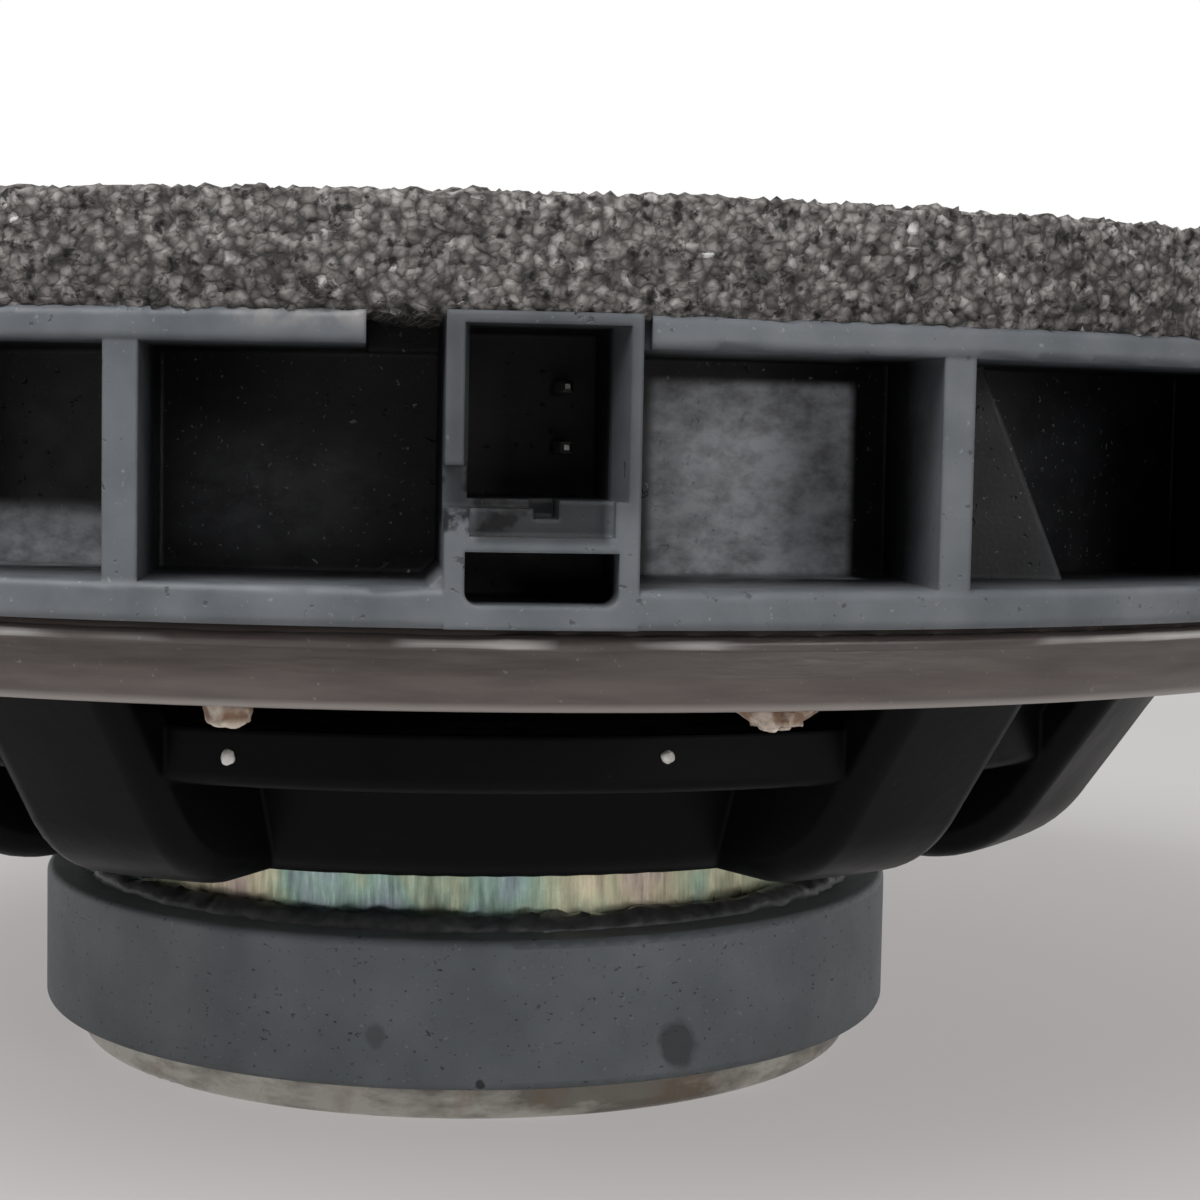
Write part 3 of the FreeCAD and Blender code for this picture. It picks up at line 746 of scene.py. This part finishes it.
# painted shade: a ragged dark place at the socket's broken lower corner
notch_shade = patch(plastic, (-8.2, -92, 50.0), (-0.6, -79, 54.0), 0.7)
notch_shade_wave = ramp(plastic, noise(plastic, 620, 5), (0.46, 0.0), (0.54, 0.92))
plastic_base = lay_over(plastic, plastic_base, notch_shade, notch_shade_wave, (12, 12, 14))
print("marks on the ring:", len(DARK_BOXES) + 3)

# %% [markdown]
# A pale patch lies on the back walls of the pockets beside the socket, mostly on the right one: partly a
# haze, partly painted light and painted reflection from the right. The wall has an inner side too, which
# stays dark, so the patch keeps to what lies outside the middle of the wall.

# %% Haze in the pockets
WALL_MIDDLE = 73.4 * MM
HAZE_LIGHT_LEFT, HAZE_LIGHT_RIGHT = 7 * MM, 19 * MM
# painted light, partly: the pale patch stands partly for light and its reflection from the right, partly for
# a real haze
haze_and_light_wave = ramp(plastic, noise(plastic, 420, 6, (1, 1, 1.5), 0.65), (0.34, 0.4), (0.62, 1.0))
right_wall = patch(plastic, (7.2, -76, 46.8), (21.8, -70.2, 60.2), 0.9)
# brighter toward the right, as painted light from that side
toward_right = along(plastic, coordinate(plastic, "X"), HAZE_LIGHT_LEFT, HAZE_LIGHT_RIGHT, low=0.5, high=1.0)
haze_and_light_place = math_node(plastic, "MULTIPLY", right_wall, toward_right)
LEFT_HAZE_AND_LIGHT = (
    ((-40, -72, 46.3), (-25.5, -60, 51.6), 1.6, 0.75),
    ((-25, -77, 46.3), (-7.5, -68, 58), 5.0, 0.09),
)
for low, high, soft, strength in LEFT_HAZE_AND_LIGHT:
    left_wall = math_node(plastic, "MULTIPLY", patch(plastic, low, high, soft), strength)
    haze_and_light_place = math_node(plastic, "ADD", haze_and_light_place, left_wall)
haze_and_light = math_node(plastic, "MULTIPLY", haze_and_light_place, haze_and_light_wave)
haze_and_light = math_node(plastic, "MULTIPLY", haze_and_light, math_node(plastic, "GREATER_THAN", ring_reach, WALL_MIDDLE))
plug(plastic, "Base Color", mix(plastic, haze_and_light, plastic_base, paint(196, 198, 203)))
print("ring plastic with its marks:", len(plastic.node_tree.nodes), "nodes")

# %% [markdown]
# The seal is brownish rubber with lying streaks and dust, a lower edge painted pale as light from the floor,
# and a lip painted with a bright line in places as a highlight. The basket is black stove paint with a slight
# orange peel and some dust.

# %% Seal and basket
rubber = new_finish("seal_rubber", paint(92, 83, 79), 0.34)
streaks = noise(rubber, 160, 4, (1, 1, 7))
rubber_base = ramp(rubber, streaks, (0.3, paint(76, 67, 64)), (0.7, paint(94, 85, 81)))
rubber_dust = ramp(rubber, noise(rubber, 1900, 3), (0.68, 0.0), (0.76, 0.4))
rubber_base = mix(rubber, rubber_dust, rubber_base, paint(150, 144, 138))
# painted light: the lower edge is paler, as light thrown up from the floor onto its rounded edge
BOUNCE_FROM, BOUNCE_TO = SEAL_LOW.z + 0.25 * MM, SEAL_LOW.z + 0.75 * MM
painted_bounce_light = along(rubber, coordinate(rubber, "Z"), BOUNCE_FROM, BOUNCE_TO, low=0.7, high=0.0)
rubber_base = mix(rubber, painted_bounce_light, rubber_base, paint(158, 150, 144))
# painted highlight: a bright line along the lip, in places
lip_share = along(rubber, reach(rubber), SEAL_HIGH.x + LIP_PROUD / 2, SEAL_HIGH.x + LIP_PROUD)
lip_highlight = ramp(rubber, noise(rubber, 45, 3), (0.44, 0.0), (0.54, 0.95))
lip_highlight = math_node(rubber, "MULTIPLY", lip_share, lip_highlight)
plug(rubber, "Base Color", mix(rubber, lip_highlight, rubber_base, paint(206, 202, 198)))
plug(rubber, "Normal", bump(rubber, streaks, 0.25 * MM, 0.3))
FINISHES["seal_rubber"] = rubber

black = new_finish("basket_paint", paint(8, 8, 9), 0.32, Specular_IOR_Level=0.09)
peel = noise(black, 900, 2)
dust = ramp(black, noise(black, 1500, 4, rough=0.65), (0.70, 0.0), (0.78, 0.3))
plug(black, "Base Color", mix(black, dust, paint(8, 8, 9), paint(96, 92, 88)))
pressed = add_node(black, "ShaderNodeBevel", {"Radius": 0.5 * MM}, samples=4).outputs["Normal"]
plug(black, "Normal", bump(black, peel, 0.08 * MM, 0.3, pressed))
plug(black, "Roughness", ramp(black, noise(black, 120, 3), (0.3, 0.28), (0.7, 0.42)))
FINISHES["basket_paint"] = black
print("seal and basket ready")

# %% [markdown]
# The plate under the basket is zinc with a passivated skin that shifts through green, yellow, blue and pink.
# The colours come from a slow noise along the plate; upright streaks from the rolling break them up.

# %% Zinc plate
zinc = new_finish("plated_steel", paint(200, 200, 190), 0.3, 1.0)
drift = noise(zinc, 62, 5, (1, 1, 0.6), 0.62)
rainbow = ramp(
    zinc, drift,
    (0.26, paint(216, 212, 222)), (0.36, paint(176, 192, 202)), (0.44, paint(164, 196, 180)),
    (0.52, paint(196, 202, 172)), (0.60, paint(212, 202, 174)), (0.68, paint(210, 190, 186)),
    (0.78, paint(230, 228, 226)),
)
lines = noise(zinc, 1500, 4, (1, 1, 0.12), 0.7)
line_grey = ramp(zinc, lines, (0.3, 0.62), (0.62, 1.2))
tarnish = ramp(zinc, noise(zinc, 420, 4), (0.32, 0.72), (0.6, 1.0))
zinc_base = mix(zinc, 0.8, rainbow, line_grey, "MULTIPLY")
plug(zinc, "Base Color", mix(zinc, 0.8, zinc_base, tarnish, "MULTIPLY"))
plug(zinc, "Roughness", ramp(zinc, lines, (0.3, 0.42), (0.7, 0.24)))
plug(zinc, "Normal", bump(zinc, lines, 0.04 * MM, 0.35))
FINISHES["plated_steel"] = zinc
print("zinc plate:", len(zinc.node_tree.nodes), "nodes")

# %% [markdown]
# The magnet is ground ferrite: dull grey with pits, one dark mark, a smaller faint one and a chip at the
# lower edge. The plate under it is pale steel with upright dark streaks painted as reflections, and a breath
# of rust.

# %% Ferrite and steel
FERRITE_MARKS = (
    ((15.6, -36.8, 6.5), 2.3, (52, 55, 57)),
    ((-9.3, -38.9, 7.9), 1.2, (80, 84, 87)),
    ((-0.9, -40.0, 4.0), 0.5, (20, 21, 22)),
)
ferrite = new_finish("ferrite", paint(78, 83, 85), 0.6)
cloud = noise(ferrite, 130, 4)
ferrite_base = ramp(ferrite, cloud, (0.3, paint(92, 97, 100)), (0.7, paint(112, 117, 120)))
pits = ramp(ferrite, noise(ferrite, 1700, 4, (1, 1, 1.6)), (0.28, 1.0), (0.36, 0.0))
ferrite_base = mix(ferrite, pits, ferrite_base, paint(54, 57, 60))
glints = ramp(ferrite, noise(ferrite, 2400, 2), (0.68, 0.0), (0.74, 0.7))
ferrite_base = mix(ferrite, glints, ferrite_base, paint(132, 136, 138))
for middle, radius, shade in FERRITE_MARKS:
    mark = ramp(ferrite, spot(ferrite, middle, radius), (0.05, 0.0), (0.35, 0.85))
    ferrite_base = mix(ferrite, mark, ferrite_base, paint(*shade))
plug(ferrite, "Base Color", ferrite_base)
ground = bump(ferrite, noise(ferrite, 1500, 3), 0.05 * MM, 0.4)
plug(ferrite, "Normal", bump(ferrite, pits, -0.1 * MM, 0.5, ground))
FINISHES["ferrite"] = ferrite

steel = new_finish("yoke_steel", paint(172, 170, 162), 0.34, 1.0)
rust = ramp(steel, noise(steel, 190, 5, rough=0.65), (0.52, 0.0), (0.75, 0.6))
# painted reflection: upright dark streaks stand for the darker reflections on the steel
reflection_streaks = ramp(steel, noise(steel, 75, 5, (1, 1, 3), 0.6), (0.44, 0.0), (0.58, 0.75))
streaked = mix(steel, reflection_streaks, paint(196, 194, 186), paint(92, 88, 80))
plug(steel, "Base Color", mix(steel, rust, streaked, paint(128, 104, 78)))
plug(steel, "Roughness", ramp(steel, noise(steel, 240, 4), (0.3, 0.2), (0.7, 0.42)))
plug(steel, "Normal", bump(steel, noise(steel, 1400, 3), 0.04 * MM, 0.4))
FINISHES["yoke_steel"] = steel
print("ferrite and steel ready")

# %% [markdown]
# The pieces inside the basket are seen through its windows and from above: pressed paper, rubber, phenolic
# cloth, copper wire, braid, resin and tinned contacts. Each goes between two colours with matching bumps.
# The glue chips take one more step: above a given height, toward the seal, they go brown in patches.

# %% Inner finishes
def flecked(name, low, high, scale, roughness, depth, metallic=0.0, stretch=(1, 1, 1)):
    """Finish between two colours with matching bumps."""
    finish = new_finish(name, paint(*low), roughness, metallic)
    pattern = noise(finish, scale, 4, stretch)
    plug(finish, "Base Color", ramp(finish, pattern, (0.32, paint(*low)), (0.68, paint(*high))))
    plug(finish, "Normal", bump(finish, pattern, depth * MM, 0.5))
    return finish


INNER_FINISHES = {
    "cone_paper": ((26, 26, 27), (44, 43, 42), 1200, 0.78, 0.15),
    "cap_paper": ((22, 22, 23), (36, 36, 36), 1500, 0.7, 0.12),
    "surround_rubber": ((20, 20, 21), (32, 32, 33), 700, 0.5, 0.08),
    "spider_cloth": ((26, 22, 19), (46, 40, 34), 1600, 0.85, 0.2),
    "former_foil": ((176, 176, 178), (206, 206, 208), 400, 0.3, 0.02, 1.0),
    "winding_copper": ((150, 82, 46), (206, 128, 82), 2600, 0.32, 0.1, 1.0, (0.05, 0.05, 1)),
    "lead_braid": ((150, 112, 74), (206, 172, 130), 3000, 0.4, 0.1, 0.9),
    "anchor_resin": ((44, 45, 48), (82, 82, 84), 900, 0.5, 0.25),
    "hard_glue": ((168, 152, 136), (222, 212, 198), 1100, 0.55, 0.2),
    "contact_tin": ((186, 184, 176), (222, 220, 214), 1500, 0.26, 0.03, 1.0),
    "rivet_steel": ((150, 150, 150), (190, 190, 188), 900, 0.36, 0.05, 1.0),
}
for finish_name, values in INNER_FINISHES.items():
    FINISHES[finish_name] = flecked(finish_name, *values)
speck_white = flecked("speck_white", (205, 200, 194), (244, 242, 238), 1500, 0.5, 0.1)

# browner in patches above a height, toward the seal
BROWN_FROM, BROWN_TO = 37.9 * MM, 38.5 * MM
glue = FINISHES["hard_glue"]
glue_cream = glue.node_tree.nodes["Principled BSDF"].inputs["Base Color"].links[0].from_socket
upper_share = along(glue, coordinate(glue, "Z"), BROWN_FROM, BROWN_TO)
brown_patch = ramp(glue, noise(glue, 700, 3), (0.36, 0.25), (0.52, 0.95))
plug(glue, "Base Color", lay_over(glue, glue_cream, upper_share, brown_patch, (116, 84, 62)))
print("finishes:", ", ".join(sorted(FINISHES)))

# %% [markdown]
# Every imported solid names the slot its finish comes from, and so do the new pieces. One loop hands the
# finishes out.

# %% Hand out the finishes
def dress(piece, slot_name):
    """One finish on every material slot of a piece."""
    finish = FINISHES[slot_name]
    if not piece.material_slots:
        piece.data.materials.append(finish)
    for material_slot in piece.material_slots:
        material_slot.material = finish


for part in frame["record"]["subparts"]:
    dress(nodes[part["node"]], part["material_slot"])
dressed = (
    (foam, "foam"), (surround, "surround_rubber"), (spider, "spider_cloth"), (drips, "hard_glue"),
    (squeeze, "anchor_resin"), (seal_lip, "seal_rubber"), *((lead, "lead_braid") for lead in leads),
)
for piece, slot_name in dressed:
    dress(piece, slot_name)
for speck in specks:
    speck.data.materials.append(speck_white)
print("dressed:", len(nodes), "solids and", len(dressed) + len(specks), "new pieces")

# %% [markdown]
# ## Light, floor and backdrop
# A large soft light stands high in front on the left, and a small weak one on the right reaches into the
# pocket beside the socket. Black paint would mirror the white sky, so a dark card stands in front of the
# speaker, which only shiny surfaces see. The floor is plain and pale, and the sky is white where the camera
# or a shiny surface looks at it.

# %% Lights
def soft_light(name, place_mm, target_mm, size_mm, watts):
    """Area light that faces a point."""
    bpy.ops.object.select_all(action="DESELECT")
    bpy.ops.object.light_add(type="AREA", location=Vector(place_mm) * MM)
    light = bpy.context.object
    light.name = name
    light.data.shape = "RECTANGLE"
    light.data.size, light.data.size_y = (side * MM for side in size_mm)
    light.data.energy = watts
    facing = (Vector(target_mm) - Vector(place_mm)).to_track_quat("-Z", "Y")
    light.rotation_euler = facing.to_euler()
    return light


soft_light("front_top", (-330, -520, 740), (0, -50, 45), size_mm=(900, 500), watts=9.8)
window = soft_light("window", (350, -600, 190), (14, -73, 53), size_mm=(200, 180), watts=0.055)
window.data.spread = math.radians(45)

# %% Dark card and floor
CARD_SIZE = (1.1, 0.7)
CARD_PLACE = (-0.3, -0.62, 0.3)
FLOOR_SIZE = 6
bpy.ops.object.select_all(action="DESELECT")
bpy.ops.mesh.primitive_plane_add(size=1, location=CARD_PLACE, rotation=(math.pi / 2, 0, 0))
card = bpy.context.object
card.name = "dark_card"
card.scale = (*CARD_SIZE, 1)
bpy.ops.object.transform_apply(location=True, rotation=True, scale=True)
card.data.materials.append(new_finish("card", paint(30, 30, 30), 1.0, Specular_IOR_Level=0.0))
for rays in ("camera", "diffuse", "shadow"):
    setattr(card, f"visible_{rays}", False)

bpy.ops.object.select_all(action="DESELECT")
bpy.ops.mesh.primitive_plane_add(size=FLOOR_SIZE)
floor = bpy.context.object
floor.name = "floor"
floor_finish = new_finish("floor", paint(214, 213, 213), 0.9, Specular_IOR_Level=0.1)
floor.data.materials.append(floor_finish)
print("card of", CARD_SIZE, "m and floor of", FLOOR_SIZE, "m")

# %% [markdown]
# The floor and the sky look alike to the camera and to shiny surfaces, but they light the speaker less than
# they shine. A share of the floor is a plain glow for those rays, paler toward the back; the rest is lit as
# usual, so it keeps the shadow.

# %% Floor glow
FLOOR_SHARE = 0.6
GLOW_NEAR, GLOW_FAR = -0.1, 0.9


def seen_directly(tree):
    """1 for rays from the camera, from a shiny surface or through glass."""
    light_path = tree.nodes.new("ShaderNodeLightPath")
    seen = light_path.outputs["Is Camera Ray"]
    for kind in ("Is Glossy Ray", "Is Transmission Ray"):
        either = tree.nodes.new("ShaderNodeMath")
        either.operation = "MAXIMUM"
        tree.links.new(seen, either.inputs[0])
        tree.links.new(light_path.outputs[kind], either.inputs[1])
        seen = either.outputs[0]
    return seen


floor_tree = floor_finish.node_tree
floor_glow = ramp(
    floor_finish, along(floor_finish, coordinate(floor_finish, "Y"), GLOW_NEAR, GLOW_FAR),
    (0.0, paint(196, 192, 191)), (0.35, paint(208, 205, 204)), (1.0, paint(245, 245, 246)),
)
glow = add_node(floor_finish, "ShaderNodeEmission", {"Color": floor_glow}).outputs["Emission"]
share = math_node(floor_finish, "MULTIPLY", seen_directly(floor_tree), FLOOR_SHARE)
floor_shader = floor_tree.nodes["Principled BSDF"].outputs["BSDF"]
floor_mix = add_node(floor_finish, "ShaderNodeMixShader", {0: share, 1: floor_shader, 2: glow})
floor_tree.links.new(floor_mix.outputs["Shader"], floor_tree.nodes["Material Output"].inputs["Surface"])
print("floor finish:", len(floor_tree.nodes), "nodes")

# %% Sky
WORLD_LIGHT = 0.31
world = bpy.data.worlds.new("studio")
world.use_nodes = True
scene.world = world
sky = world.node_tree.nodes["Background"]
sky.inputs["Color"].default_value = (1, 1, 1, 1)
level = world.node_tree.nodes.new("ShaderNodeMapRange")
level.inputs["To Min"].default_value = WORLD_LIGHT
level.inputs["To Max"].default_value = 1.0
world.node_tree.links.new(seen_directly(world.node_tree), level.inputs["Value"])
world.node_tree.links.new(level.outputs["Result"], sky.inputs["Strength"])
print("sky lights the speaker at", WORLD_LIGHT)
